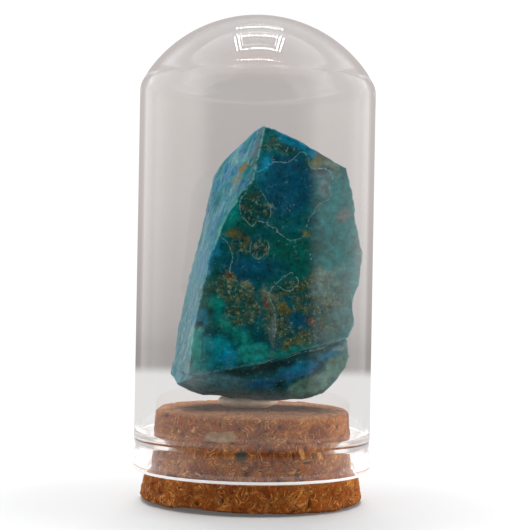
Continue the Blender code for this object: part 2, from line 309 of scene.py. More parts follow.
# ---------------------------------------------------------------- light tent
OPENING_RIGHT_DEG = (50, 66)  # from the view's axis to where the side walls are fully lit
OPENING_LEFT_DEG = (-35, -70)
BACK_EDGE_DEG = (135, 150)
OPENING_LIGHT = (0.005, 0.035, 0.04)
RIGHT_WALL_DEG = (95, 125)  # where the dimmer front part of the right wall ends
RIGHT_WALL_LIGHT = (0.66, 0.64, 0.63)
WALL_LIGHT = (1.0, 0.97, 0.94)
BACK_LIGHT = (0.55, 0.505, 0.49)
TOP_LIGHT = (0.62, 0.60, 0.58)
FLOOR_LIGHT = (0.76, 0.752, 0.745)
BACKDROP = (1.05, 1.05, 1.05)
WALL_FOOT = (-0.066, -0.074)  # these three are the upward parts of a direction: 0 is level
HORIZON = (-0.078, -0.092)
TOP_EDGE = (0.55, 0.75)
FLOOR_RADIUS = 80.0
FLOOR_STEPS = 96
FLOOR_COLOUR = (0.45, 0.456, 0.463)
# where the floor's painted glow rises from none to full
FLOOR_FADE = (25.0, 110.0)  # mm from the axis
# an even painted glow, which lifts the shadows on the floor
FLOOR_GLOW = 0.09
LAMPS = [  # name, watts, size and place in metres
    ("ceiling", 1.45, (0.33, 0.30), (0, 0.03, 0.43)),
    ("back_light", 2.0, (0.26, 0.20), (0, 0.30, 0.38)),
    ("front_fill", 0.036, (0.10, 0.03), (0, -0.27, 0.03)),
    ("right_fill", 0.45, (0.10, 0.04), (0.27, 0.02, 0.035)),
    ("left_fill", 0.10, (0.10, 0.04), (-0.27, 0.02, 0.035)),
]
# Greys of the walls, from just below level (place 0) to just above it (place 1).
WALL_FADE = [(0.12, 0.60), (0.22, 0.61), (0.29, 0.705), (0.385, 0.777), (0.71, 0.926), (1.0, 1.0)]
LED_HEIGHT = 430.0  # in mm, as the next four are
LED_ROWS = (-18.0, 104.0, 222.0)
LED_COLUMNS = (-82.0, -68.0, 68.0, 82.0)
LED_FRONT_ROW = (-126.0, 96.0)  # its y and half its length
LED_SIZE = (2.8, 9.0)
LEDS_PER_ROW = 13
LED_STRENGTH = 80.0
BOUNCES = 32


# ================================================================ shader helpers
def new_tree(name):
    """An empty material, and its node tree with an output and a Principled shader."""
    made = bpy.data.materials.new(name)
    made.use_nodes = True
    tree = made.node_tree
    return made, tree, tree.nodes["Principled BSDF"]


def node(tree, kind, inputs=None, **settings):
    """A new node, with its settings and its inputs set to values or linked from sockets."""
    made = tree.nodes.new(kind)
    for key, value in settings.items():
        setattr(made, key, value)
    for key, value in (inputs or {}).items():
        put(tree, made.inputs[key], value)
    return made


def put(tree, socket, value):
    if isinstance(value, bpy.types.NodeSocket):
        tree.links.new(value, socket)
    else:
        socket.default_value = value


def smooth_step(tree, value, start, end):
    """0 before start and 1 after end, with a soft passage."""
    return node(tree, "ShaderNodeMapRange", {"Value": value, "From Min": start, "From Max": end},
                interpolation_type="SMOOTHSTEP").outputs[0]


def spread(tree, value, start, end, low, high):
    """A value from start to end becomes one from low to high."""
    return node(tree, "ShaderNodeMapRange", {
        "Value": value, "From Min": start, "From Max": end, "To Min": low, "To Max": high}).outputs[0]


def maths(tree, operation, a, b=0.0):
    return node(tree, "ShaderNodeMath", {0: a, 1: b}, operation=operation).outputs[0]


def times(tree, product, *others):
    """The product of all the values."""
    for other in others:
        product = maths(tree, "MULTIPLY", product, other)
    return product


def line_at(tree, value, level, width):
    """1 on the thin line where the value passes this level, and 0 at this width from it."""
    off = maths(tree, "ABSOLUTE", maths(tree, "SUBTRACT", value, level))
    return smooth_step(tree, off, width, width * LINE_CORE)


def ramp(tree, value, stops):
    """A colour for each value, through (place from 0 to 1, colour) stops."""
    made = node(tree, "ShaderNodeValToRGB", {"Fac": value})
    points = made.color_ramp.elements
    while len(points) < len(stops):
        points.new(0.5)
    for point, (place, colour) in zip(points, stops):
        point.position = place
        point.color = (*colour, 1.0)
    return made.outputs["Color"]


def mixed(tree, factor, a, b, blend="MIX"):
    made = node(tree, "ShaderNodeMix", data_type="RGBA", blend_type=blend)
    for socket, value in ((made.inputs[0], factor), (made.inputs[6], a), (made.inputs[7], b)):
        put(tree, socket, value)
    return made.outputs[2]


def painted(tree, colour, cover, strength, paint):
    """The colour with paint over it at this strength, where cover is 1."""
    return mixed(tree, times(tree, cover, strength), colour, (*paint, 1))


def field(tree, name):
    """The values that the mesh carries under this name."""
    return node(tree, "ShaderNodeAttribute", attribute_name=name).outputs["Fac"]


def place_mm(tree):
    """The place on the object, in mm."""
    place = node(tree, "ShaderNodeTexCoord").outputs["Object"]
    return scaled(tree, place, 1.0 / MM)


def height_of(tree, place):
    return node(tree, "ShaderNodeSeparateXYZ", {"Vector": place}).outputs[2]


def scaled(tree, vector, factor):
    return node(tree, "ShaderNodeVectorMath", {0: vector, "Scale": factor}, operation="SCALE").outputs[0]


def moved(tree, place, shift):
    return node(tree, "ShaderNodeVectorMath", {0: place, 1: shift}, operation="ADD").outputs[0]


def clouds(tree, place, size, detail=2.0, roughness=0.5, twist=0.0):
    """Noise from 0 to 1 with features about size mm across."""
    return node(tree, "ShaderNodeTexNoise",
                {"Vector": place, "Scale": 1.0 / size, "Detail": detail,
                 "Roughness": roughness, "Distortion": twist}).outputs["Fac"]


def uneven(tree, place, size, detail, reach):
    """The place moved at random by up to reach, in steps about size mm across."""
    shift = node(tree, "ShaderNodeTexNoise", {"Vector": place, "Scale": 1.0 / size, "Detail": detail})
    return moved(tree, place, scaled(tree, shift.outputs["Color"], reach))


def cells(tree, place, size):
    """Distance to the nearest seed, and a random value for each cell about size mm across."""
    made = node(tree, "ShaderNodeTexVoronoi", {"Vector": place, "Scale": 1.0 / size})
    chance = node(tree, "ShaderNodeSeparateColor", {"Color": made.outputs["Color"]}).outputs[0]
    return made.outputs["Distance"], chance


def specks(tree, place, size, share, radius):
    """Round specks, in this share of the cells; radius is a part of the cell's size."""
    distance, chance = cells(tree, place, size)
    dot = smooth_step(tree, distance, radius, radius * SPECK_CORE)
    return times(tree, dot, maths(tree, "LESS_THAN", chance, share))


def cracks(tree, place, size, width):
    """Thin wavering lines between cells about size mm across; width is a part of the cell's size."""
    wavering = uneven(tree, place, 0.5 * size, 2.0, 0.8 * size)
    made = node(tree, "ShaderNodeTexVoronoi", {"Vector": wavering, "Scale": 1.0 / size},
                feature="DISTANCE_TO_EDGE")
    return smooth_step(tree, made.outputs["Distance"], width, width * LINE_CORE)


def mosaic(tree, place, size, colours):
    """Uneven grains about size mm across, each in one of the colours."""
    _, chance = cells(tree, uneven(tree, place, size / 1.5, 1.0, size), size)
    made = ramp(tree, chance, colours)
    made.node.color_ramp.interpolation = "CONSTANT"
    return made


def make_bumpy(tree, shader, height, strength, depth):
    """Gives the shader a fine relief, with its depth in mm."""
    bump = node(tree, "ShaderNodeBump", {"Height": height, "Strength": strength, "Distance": depth * MM})
    put(tree, shader.inputs["Normal"], bump.outputs[0])


# ================================================================ shape helpers
def rounded(corners, arc_deg):
    """An outline of (r, z, fillet radius) corners, with each fillet as an arc."""
    outline = []
    for i, (r, z, fillet) in enumerate(corners):
        here = Vector((r, z))
        if fillet == 0:
            outline.append(here)
            continue
        to_last = (Vector(corners[i - 1][:2]) - here).normalized()
        to_next = (Vector(corners[i + 1][:2]) - here).normalized()
        half = to_last.angle(to_next) / 2
        centre = here + (to_last + to_next).normalized() * fillet / math.sin(half)
        start = here + to_last * fillet / math.tan(half) - centre
        turn = start.angle_signed(here + to_next * fillet / math.tan(half) - centre)
        steps = max(2, round(abs(math.degrees(turn)) / arc_deg))
        for step in range(steps + 1):
            outline.append(centre + Matrix.Rotation(-turn * step / steps, 2) @ start)
    return outline


def cap_arc(radius, centre_z, from_r, steps):
    """A dome's profile, from the radius from_r up to the axis."""
    first = math.asin(from_r / radius)
    angles = [first * (1 - step / steps) for step in range(steps + 1)]
    return [Vector((radius * math.sin(a), centre_z + radius * math.cos(a))) for a in angles]


def spaced(outline, step):
    """The outline with extra points, so that no stretch is longer than step."""
    dense = [outline[0]]
    for a, b in zip(outline, outline[1:]):
        count = max(1, math.ceil((b - a).length / step))
        dense += [a.lerp(b, (i + 1) / count) for i in range(count)]
    return dense


def turned(name, outline, steps):
    """A closed piece in metres, turned about Z from an outline of (r, z) points in mm.

    An outline that starts off the axis closes on itself.
    """
    verts, rings = [], []
    for point in outline:
        count = 1 if point.x < ON_AXIS else steps
        rings.append([len(verts) + i for i in range(count)])
        for i in range(count):
            angle = math.tau * i / steps
            verts.append((point.x * math.cos(angle), point.x * math.sin(angle), point.y))
    bands = list(zip(rings, rings[1:]))
    if len(rings[0]) > 1:
        bands.append((rings[-1], rings[0]))
    faces = []
    for low, high in bands:
        if len(low) == len(high) == 1:
            continue
        for i in range(steps):
            j = (i + 1) % steps
            corners = [low[i % len(low)], low[j % len(low)], high[j % len(high)], high[i % len(high)]]
            faces.append(list(dict.fromkeys(corners)))
    return mesh_object(name, verts, faces)


def mesh_object(name, verts_mm, faces):
    mesh = bpy.data.meshes.new(name)
    mesh.from_pydata((np.asarray(verts_mm) * MM).tolist(), [], faces)
    mesh.shade_smooth()
    obj = bpy.data.objects.new(name, mesh)
    bpy.context.scene.collection.objects.link(obj)
    return obj


def mesh_points(mesh):
    points = np.empty(len(mesh.vertices) * 3)
    mesh.vertices.foreach_get("co", points)
    return points.reshape(-1, 3) / MM


def mesh_normals(mesh):
    normals = np.empty(len(mesh.vertices) * 3)
    mesh.vertex_normals.foreach_get("vector", normals)
    return normals.reshape(-1, 3)


def move_points(mesh, points):
    mesh.vertices.foreach_set("co", (points * MM).ravel())
    mesh.update()


def add_field(mesh, name, values):
    layer = mesh.attributes.new(name, "FLOAT", "POINT")
    layer.data.foreach_set("value", np.asarray(values, dtype=np.float32))


def waves(points, size, seed=0):
    """Smooth noise at each point, within about 0.7 of 0, with features about size mm across."""
    shift = Vector((17.3, 5.1, 9.7)) * seed
    return np.array([noise.noise(Vector(point) / size + shift) for point in points])


def step_up(values, low, high):
    """0 below low and 1 above high, with a soft passage."""
    part = np.clip((values - low) / (high - low), 0, 1)
    return part * part * (3 - 2 * part)


def zone_depth(place, ovals):
    """How deep each point lies in a zone, in mm: 0 on the outline of its ovals."""
    depth = np.full(len(place), OUTSIDE)
    for x, z, length, width, tilt in ovals:
        turn = math.radians(tilt)
        along = (place[:, 0] - x) * math.cos(turn) + (place[:, 1] - z) * math.sin(turn)
        beside = (place[:, 1] - z) * math.cos(turn) - (place[:, 0] - x) * math.sin(turn)
        distance = np.hypot(along / length, beside / width)
        depth = np.maximum(depth, (1 - distance) * min(length, width))
    return depth


# ================================================================ glass
def glass_outline():
    """The outside from the mouth up to the axis, then the inside from the axis down to the mouth."""
    wall_radius = TUBE_RADIUS - TUBE_WALL
    mouth = (MOUTH_MIDDLE, RIM_HEIGHT, 0)
    outside = rounded([
        mouth,
        (RING_RADIUS, RIM_HEIGHT, EDGE_ROUND),
        (TUBE_RADIUS, RIM_HEIGHT + RING_HEIGHT, RING_BLEND),
        (TUBE_RADIUS, SHOULDER_HEIGHT, SHOULDER_ROUND),
        (*SHOULDER_AIM, 0),
    ], GLASS_ARC_DEG)[:-1]
    outside += cap_arc(DOME_RADIUS, DOME_APEX - DOME_RADIUS, DOME_EDGE, DOME_STEPS)
    crown_z = DOME_APEX - TOP_WALL - CROWN_RADIUS
    inside = cap_arc(CROWN_RADIUS, crown_z, CROWN_EDGE, CROWN_STEPS)[::-1]
    inside += rounded([
        (*inside[-1], 0),
        (wall_radius, SHOULDER_HEIGHT, SHOULDER_ROUND),
        (wall_radius, SHELF_HEIGHT, SHELF_ROUND),
        (RING_BORE, SHELF_HEIGHT - SHELF_DROP, SHELF_ROUND),
        (RING_BORE, RIM_HEIGHT, MOUTH_ROUND),
        mouth,
    ], GLASS_ARC_DEG)[1:-1]
    return outside + inside


def glass_material():
    made, tree, shader = new_tree("glass")
    put(tree, shader.inputs["Base Color"], (1.0, 1.0, 1.0, 1.0))
    put(tree, shader.inputs["Roughness"], 0.0)
    put(tree, shader.inputs["IOR"], GLASS_IOR)
    put(tree, shader.inputs["Transmission Weight"], 1.0)
    return made


def ground_material():
    """The ground edge at the foot of the ring: matt white glass, with a painted glow that makes it
    bright.
    """
    made, tree, shader = new_tree("ground_glass_edge_painted_glow")
    dust = clouds(tree, place_mm(tree), 0.5)
    put(tree, shader.inputs["Base Color"], ramp(tree, dust, GROUND_COLOURS))
    put(tree, shader.inputs["Roughness"], 0.4)
    # painted glow: the edge shines, though it is no lamp
    put(tree, shader.inputs["Emission Color"], (*GROUND_EDGE_PAINTED_GLOW, 1.0))
    put(tree, shader.inputs["Emission Strength"], 0.15)
    return made


def make_glass():
    obj = turned("clear_glass_dome", spaced(glass_outline(), GLASS_SPACING), GLASS_STEPS)
    obj.data.materials.append(glass_material())
    obj.data.materials.append(ground_material())
    for face in obj.data.polygons:
        x, y, z = face.center / MM
        if z < RIM_HEIGHT + EDGE_ROUND and math.hypot(x, y) > RING_RADIUS - EDGE_ROUND:
            face.material_index = 1
    obj.visible_shadow = False  # the lamps light the stone straight through the clear glass
    obj.visible_diffuse = False
    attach(obj, "root")
    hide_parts("glass_dome")


# ================================================================ cork and putty
def granules(points):
    """For each point: how far it is from its granule's outline, and two random values."""
    place = points + 0.5 * np.stack([waves(points, 1.7, seed) for seed in (21, 22, 23)], axis=1)
    gap, seeds = np.empty(len(points)), np.empty((len(points), 3))
    for i, point in enumerate(place):
        distances, nearest = noise.voronoi(Vector(point) / GRANULE)
        gap[i] = (distances[1] - distances[0]) * GRANULE
        seeds[i] = nearest[0]
    folded = seeds @ np.array([[12.99, 39.35], [78.23, 11.14], [37.72, 83.16]])
    return gap, *np.modf(np.abs(np.sin(folded) * 4375.85))[0].T  # any large uneven numbers would do


def cork_outline():
    return rounded([
        (0, 0, 0),
        (SEAT_RADIUS - 0.1, 0, 0.2),
        (FOOT_RADIUS, FOOT_HEIGHT, 0.4),
        (SEAT_RADIUS, SEAT_HEIGHT, 0.5),
        (PLUG_RADIUS, SEAT_HEIGHT, 0),
        (PLUG_TOP_RADIUS, PLUG_TOP, 0.9),
        (0, PLUG_TOP, 0),
    ], CORK_ARC_DEG)


def worn_edge(points):
    """How far the foot's lower edge is lifted off the table at each point, in mm."""
    lift = 0.08 - 0.22 * waves(points * np.array((1, 1, 0)), 4.0, 33)
    chip = np.exp(-((points[:, 0] - CHIP_X) / CHIP_WIDTH) ** 2) * (points[:, 1] < 0)
    reach = np.clip(1 - points[:, 2] / WORN_HEIGHT, 0, 1)
    return (lift + CHIP_DEPTH * chip) * reach


def make_cork():
    obj = turned("cork_foot_and_plug", spaced(cork_outline(), CORK_SPACING), CORK_STEPS)
    mesh = obj.data
    points, normals = mesh_points(mesh), mesh_normals(mesh)
    gap, shade, stand = granules(points)
    groove = 1 - step_up(gap, 0.0, GROOVE_WIDTH)
    pits = step_up(waves(points, 0.8, 31), 0.5, 0.6)
    depth = GROOVE_DEPTH * groove + GRANULE_STEP * stand + PIT_DEPTH * pits
    depth += GRIT_DEPTH * (1 + waves(points, 0.6, 32))
    points = points - normals * depth[:, None]
    points[:, 2] = np.maximum(points[:, 2] + worn_edge(points), 0.0)
    move_points(mesh, points)
    add_field(mesh, "groove", groove)
    add_field(mesh, "granule", shade)
    add_field(mesh, "pit", pits)
    place = points[:, (0, 2)] + 0.3 * np.stack([waves(points, 0.9, seed) for seed in (34, 35)], axis=1)
    behind = np.where(points[:, 1] < 0, 0.0, FAR)
    add_field(mesh, "pale", zone_depth(place, PALE_GRANULES) - behind)
    add_field(mesh, "green", zone_depth(place, GREEN_GRANULES) - behind)
    mesh.materials.append(cork_material())
    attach(obj, "root")
    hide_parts("cork_base")


def cork_swirls(tree, place, broad):
    """Granules in browns, with curled light and dark lines that differ from granule to granule."""
    granule = field(tree, "granule")
    own = moved(tree, place, scaled(tree, (31.0, 17.0, 23.0), granule))
    streak = clouds(tree, own, 2.63, 1.0, twist=1.6)
    shade = maths(tree, "ADD", times(tree, granule, 0.25), times(tree, broad, 0.45))
    shade = maths(tree, "ADD", shade, times(tree, streak, 0.3))
    colour = ramp(tree, shade, CORK_COLOURS)
    curled = smooth_step(tree, broad, 0.40, 0.54)
    for level, width, paint, strength in CORK_LINES:
        line = times(tree, line_at(tree, streak, level, width), curled)
        colour = painted(tree, colour, line, strength, paint)
    return colour


def cork_material():
    made, tree, shader = new_tree("cork")
    place = place_mm(tree)
    fine = clouds(tree, place, 0.35, 4.0, 0.65)
    colour = cork_swirls(tree, place, clouds(tree, place, 1.4, 3.0, 0.6))
    # painted light: the plug's top face is made paler, as though it were strongly lit from above
    top = smooth_step(tree, height_of(tree, place), PLUG_TOP - 0.7, PLUG_TOP - 0.2)
    colour = painted(tree, colour, top, 0.45, CORK_TOP_PAINTED_LIGHT)
    pale = smooth_step(tree, field(tree, "pale"), -0.1, 0.25)
    colour = painted(tree, colour, pale, 1.0, PALE_COLOUR)
    green = smooth_step(tree, field(tree, "green"), -0.15, 0.15)
    colour = painted(tree, colour, green, 1.0, GREEN_COLOUR)
    ragged = times(tree, field(tree, "groove"), smooth_step(tree, fine, 0.3, 0.6))
    colour = painted(tree, colour, ragged, 0.5, GROOVE_COLOUR)
    hole = maths(tree, "MAXIMUM", field(tree, "pit"), specks(tree, place, 0.7, 0.25, 0.22))
    colour = painted(tree, colour, hole, 0.8, PIT_COLOUR)
    colour = mixed(tree, 1.0, colour, spread(tree, fine, 0.25, 0.75, 0.65, 1.3), "MULTIPLY")
    put(tree, shader.inputs["Base Color"], colour)
    put(tree, shader.inputs["Roughness"], spread(tree, fine, 0.0, 1.0, 0.75, 0.95))
    put(tree, shader.inputs["Specular IOR Level"], 0.2)
    make_bumpy(tree, shader, fine, 0.6, 0.15)
    return made


def make_putty():
    """A lump of putty pressed flat between the cork and the stone."""
    centre_z = (PUTTY_TOP + PLUG_TOP) / 2
    half_height = (PUTTY_TOP - PLUG_TOP) / 2 + PUTTY_PRESSED
    outline = [Vector((0, centre_z - half_height))]
    for step in range(1, PUTTY_STEPS):
        angle = math.pi * (step / PUTTY_STEPS - 0.5)
        radius = math.cos(angle) ** PUTTY_BLUNT
        outline.append(Vector((radius, centre_z + half_height * math.sin(angle))))
    outline.append(Vector((0, centre_z + half_height)))
    obj = turned("putty_lump", outline, PUTTY_TURNS)
    mesh = obj.data
    centre = np.array((*PUTTY_CENTRE, centre_z))
    points = mesh_points(mesh)
    points[:, :2] = PUTTY_CENTRE + points[:, :2] * PUTTY_RADII
    push = 0.35 * waves(points, 2.5, 41) + 0.08 * waves(points, 0.7, 42)
    outward = points - centre
    outward /= np.linalg.norm(outward, axis=1)[:, None]
    points += outward * push[:, None] * np.array((1, 1, 0.4))
    points[:, 2] = np.maximum(points[:, 2], PLUG_TOP - 0.1)
    move_points(mesh, points)
    mesh.materials.append(putty_material())
    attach(obj, "root")
    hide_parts("putty")


def putty_material():
    made, tree, shader = new_tree("putty")
    place = place_mm(tree)
    smudge = clouds(tree, place, 1.6, 3.0)
    put(tree, shader.inputs["Base Color"], ramp(tree, smudge, PUTTY_COLOURS))
    put(tree, shader.inputs["Roughness"], spread(tree, smudge, 0.0, 1.0, 0.4, 0.65))
    make_bumpy(tree, shader, clouds(tree, place, 0.4, 3.0), 0.4, 0.1)
    return made


# ================================================================ opal
def block(name, corners):
    """The convex block with these corners, which are in mm; the block is in metres."""
    bm = bmesh.new()
    for corner in corners:
        bm.verts.new(Vector(corner) * MM)
    made = bmesh.ops.convex_hull(bm, input=bm.verts)
    inside = [v for v in made["geom_interior"] if isinstance(v, bmesh.types.BMVert)]
    bmesh.ops.delete(bm, geom=inside, context="VERTS")
    bmesh.ops.recalc_face_normals(bm, faces=bm.faces)
    mesh = bpy.data.meshes.new(name)
    bm.to_mesh(mesh)
    bm.free()
    obj = bpy.data.objects.new(name, mesh)
    bpy.context.scene.collection.objects.link(obj)
    return obj


def stone_mesh():
    """The main block joined with the layer under it, as one even fine mesh."""
    main = block("main", RIDGE + LEDGE + RIGHT_EDGE + LEFT_EDGE + MAIN_BACK)
    layer = block("layer", STEP_EDGE + LAYER_FRONT + UNDERSIDE + LAYER_TOP)
    union = main.modifiers.new("join", "BOOLEAN")
    union.operation = "UNION"
    union.object = layer
    remesh = main.modifiers.new("even", "REMESH")
    remesh.mode = "VOXEL"
    remesh.voxel_size = STONE_VOXEL * MM
    ready = main.evaluated_get(bpy.context.evaluated_depsgraph_get())
    mesh = bpy.data.meshes.new_from_object(ready)
    bpy.data.objects.remove(main)
    bpy.data.objects.remove(layer)
    return mesh


def dented(points):
    for x, y, z, radius in DENTS:
        away = points - np.array((x, y, z))
        distance = np.linalg.norm(away, axis=1)
        inside = distance < radius
        away[inside] *= (radius / distance[inside])[:, None]
        points = np.where(inside[:, None], np.array((x, y, z)) + away, points)
    return points


def bulge(mesh, points, normals):
    """How far each point stands out from the mean of the points round it, in mm."""
    ends = np.empty(len(mesh.edges) * 2, dtype=np.int32)
    mesh.edges.foreach_get("vertices", ends)
    a, b = ends.reshape(-1, 2).T
    total = len(points)
    count = np.bincount(a, minlength=total) + np.bincount(b, minlength=total)
    smooth = points.copy()
    for _ in range(BULGE_RINGS):
        for axis in range(3):
            values = smooth[:, axis]
            sums = np.bincount(a, values[b], total) + np.bincount(b, values[a], total)
            smooth[:, axis] = sums / count
    return np.einsum("ij,ij->i", points - smooth, normals)


def grain_place(points):
    """Places along the left face's streaks, with the direction of the ridge pressed short."""
    way = np.array(RIDGE_WAY) / np.linalg.norm(RIDGE_WAY)
    return points - np.outer(points @ way * STREAK_PRESS, way)


def pattern_place(points, normals):
    """Where each point lies on the front's pattern; the far sides repeat it upside down."""
    behind = normals @ np.array(FRONT_WAY) < 0.15
    across = np.where(behind, BACK_X - points[:, 0] + 0.4 * points[:, 1], points[:, 0])
    height = np.where(behind, BACK_Z - points[:, 2], points[:, 2])
    return np.stack([across + 0.5 * waves(points, 2.2, 11),
                     height + 0.5 * waves(points, 2.2, 12)], axis=1)


def curved(corners):
    """Points on a smooth curve through the corners."""
    ends = [Vector(corner) for corner in (corners[0], *corners, corners[-1])]
    line = []
    for a, b, c, d in zip(ends, ends[1:], ends[2:], ends[3:]):
        for part in (0.0, 0.25, 0.5, 0.75):
            bend = 2 * a - 5 * b + 4 * c - d + (3 * (b - c) + d - a) * part
            line.append(b + (c - a + bend * part) * part / 2)
    return line + [ends[-1]]


def off_stretch(points, start, end):
    """How far and which way each point lies off the stretch from start to end, and that stretch."""
    way = np.subtract(end, start)
    off = points - np.array(start)
    part = np.clip(off @ way / (way @ way), 0, 1)
    return off - np.outer(part, way), way


def line_distance(points, corners):
    """Distance in mm from each point to the line through the corners."""
    nearest = np.full(len(points), FAR)
    for start, end in zip(corners, corners[1:]):
        off, _ = off_stretch(points, start, end)
        nearest = np.minimum(nearest, np.linalg.norm(off, axis=1))
    return nearest


def vein_side(place):
    """Distance to the nearest vein in mm, with a sign for the side of it."""
    nearest = np.full(len(place), FAR)
    for vein in map(curved, VEINS):
        for start, end in zip(vein, vein[1:]):
            off, way = off_stretch(place, start, end)
            distance = np.linalg.norm(off, axis=1)
            side = np.sign(off[:, 0] * way[1] - off[:, 1] * way[0])
            nearest = np.where(distance < np.abs(nearest), distance * side, nearest)
    return nearest


def stone_relief(points, left, front):
    """How far the skin stands out from the flat-faced block at each point, in mm."""
    height = 0.22 * waves(points, 7.0, 1) + 0.10 * waves(points, 2.6, 2)
    height += (0.10 - 0.07 * front) * waves(points, 1.1, 3)
    height += 0.12 * left * waves(grain_place(points), 2.0, 4)
    broken = 1 - np.maximum(left, front)
    return height + broken * (0.10 - 0.5 * np.abs(waves(points, 4.0, 6)))


def shape_stone(mesh):
    """Gives the even mesh its dents and relief, and the fields that its colours follow."""
    points, normals = mesh_points(mesh), mesh_normals(mesh)
    left = step_up(normals @ np.array(LEFT_WAY), 0.62, 0.86)
    front = step_up(normals @ np.array(FRONT_WAY), 0.75, 0.95)
    streaks = grain_place(points)
    points = dented(points) + normals * stone_relief(points, left, front)[:, None]
    move_points(mesh, points)

    place = pattern_place(points, normals)
    for name, _, _, _, _, ovals in ZONES:
        add_field(mesh, "zone_" + name, zone_depth(place, ovals))
    side = vein_side(place)
    add_field(mesh, "vein_side", side)
    add_field(mesh, "vein_distance", np.abs(side))
    add_field(mesh, "left", left)
    add_field(mesh, "ridge", line_distance(points, RIDGE))
    add_field(mesh, "edge", bulge(mesh, points, mesh_normals(mesh)))
    grain = mesh.attributes.new("grain", "FLOAT_VECTOR", "POINT")
    grain.data.foreach_set("vector", streaks.astype(np.float32).ravel())


def left_face_colour(tree, place, grain):
    """Slate blue clouded with teal, blue, lilac and cream along the grain."""
    colour = ramp(tree, clouds(tree, grain, 1.9), LEFT_CLOUDS)
    fine = clouds(tree, grain, 0.8)
    colour = painted(tree, colour, smooth_step(tree, fine, 0.57, 0.68), 0.7, LEFT_PALE)
    colour = painted(tree, colour, smooth_step(tree, fine, 0.42, 0.30), 0.75, LEFT_DARK)
    return painted(tree, colour, smooth_step(tree, height_of(tree, place), 36.0, 22.0), 0.65, LEFT_LOW)


def zone_colours(tree, place, cloud, colour):
    """Each zone's paint or mosaic, with a ragged outline."""
    ochre = ramp(tree, clouds(tree, place, 0.9, 4.0, 0.65), OCHRE_CLOUDS)
    mosaics = {"GRAINS": mixed(tree, 0.5, ochre, mosaic(tree, place, 0.32, GRAINS)),
               "PEBBLES": mosaic(tree, place, 0.55, PEBBLES)}
    ragged = spread(tree, cloud, 0.0, 1.0, -0.8, 0.8)
    for name, paint, soft, roughen, strength, _ in ZONES:
        depth = maths(tree, "ADD", field(tree, "zone_" + name), times(tree, ragged, roughen * 2.0))
        inside = times(tree, smooth_step(tree, depth, -soft, soft), strength)
        colour = mixed(tree, inside, colour, mosaics[paint] if paint in mosaics else (*paint, 1))
    return colour


def mottled(tree, place, fine, facing, colour):
    """Light and dark clouding, finest on the front."""
    colour = mixed(tree, 1.0, colour, spread(tree, fine, 0.25, 0.75, 0.86, 1.14), "MULTIPLY")
    mottle = ramp(tree, clouds(tree, place, 1.1, 5.0, 0.65), MOTTLE)
    return mixed(tree, facing, colour, mixed(tree, 1.0, colour, mottle, "MULTIPLY"))


def grain_marks(tree, place, cloud, fine, colour):
    """Golden flecks, and pale and dark lines between the grains."""
    grains = field(tree, "zone_grains")
    golden = times(tree, smooth_step(tree, grains, -0.8, 0.6), smooth_step(tree, cloud, 0.45, 0.56))
    fleck = times(tree, specks(tree, place, 0.42, 0.28, 0.24), golden)
    colour = painted(tree, colour, fleck, 0.6, FLECK_COLOUR)
    busy = smooth_step(tree, maths(tree, "MAXIMUM", grains, field(tree, "zone_pebbles")), -0.3, 0.2)
    net = times(tree, cracks(tree, place, 1.1, 0.05), smooth_step(tree, fine, 0.48, 0.6), busy)
    colour = painted(tree, colour, net, 0.65, NET_COLOUR)
    dark = times(tree, cracks(tree, place, 0.75, 0.07), busy)
    return painted(tree, colour, dark, 0.45, CRACK_COLOUR)


def specks_and_threads(tree, place, cloud, fine, facing, colour):
    """Pale dust-like specks, and broken hair lines."""
    pale = maths(tree, "MAXIMUM", specks(tree, place, 0.55, 0.11, 0.17),
                 specks(tree, place, 1.3, 0.20, 0.10))
    colour = painted(tree, colour, pale, 0.6, SPECK_COLOUR)
    thread = line_at(tree, clouds(tree, place, 2.22, 3.0, twist=0.8), 0.5, 0.0045)
    curl = line_at(tree, clouds(tree, place, 0.77, twist=1.6), 0.48, 0.011)
    curl = times(tree, curl, facing, smooth_step(tree, fine, 0.46, 0.58))
    broken = smooth_step(tree, cloud, 0.50, 0.62)
    thread = times(tree, maths(tree, "MAXIMUM", thread, curl), broken)
    return painted(tree, colour, thread, 0.7, THREAD_COLOUR)


def veins_and_edges(tree, cloud, fine, colour):
    """The pale veins, a painted highlight along the ridge, and painted highlights on the sharp edges."""
    wander = times(tree, maths(tree, "SUBTRACT", fine, 0.5), 0.6)
    vein = line_at(tree, maths(tree, "ADD", field(tree, "vein_side"), wander), 0.0, 0.065)
    near = maths(tree, "LESS_THAN", field(tree, "vein_distance"), 0.5)
    vein = times(tree, vein, near, smooth_step(tree, fine, 0.32, 0.55))
    colour = painted(tree, colour, vein, 0.8, VEIN_COLOUR)
    # painted highlight: a bright line along the ridge
    ridge_highlight = maths(tree, "ADD", field(tree, "ridge"), times(tree, fine, 0.5))
    ridge_highlight = times(tree, smooth_step(tree, ridge_highlight, 0.52, 0.34), smooth_step(tree, cloud, 0.40, 0.56))
    colour = painted(tree, colour, ridge_highlight, 0.65, RIDGE_HIGHLIGHT_COLOUR)
    # painted highlight on the sharp edges, where the mesh bulges out
    edge = times(tree, smooth_step(tree, field(tree, "edge"), 0.05, 0.09),
                 smooth_step(tree, fine, 0.35, 0.55))
    return painted(tree, colour, edge, 0.35, EDGE_HIGHLIGHT_COLOUR)


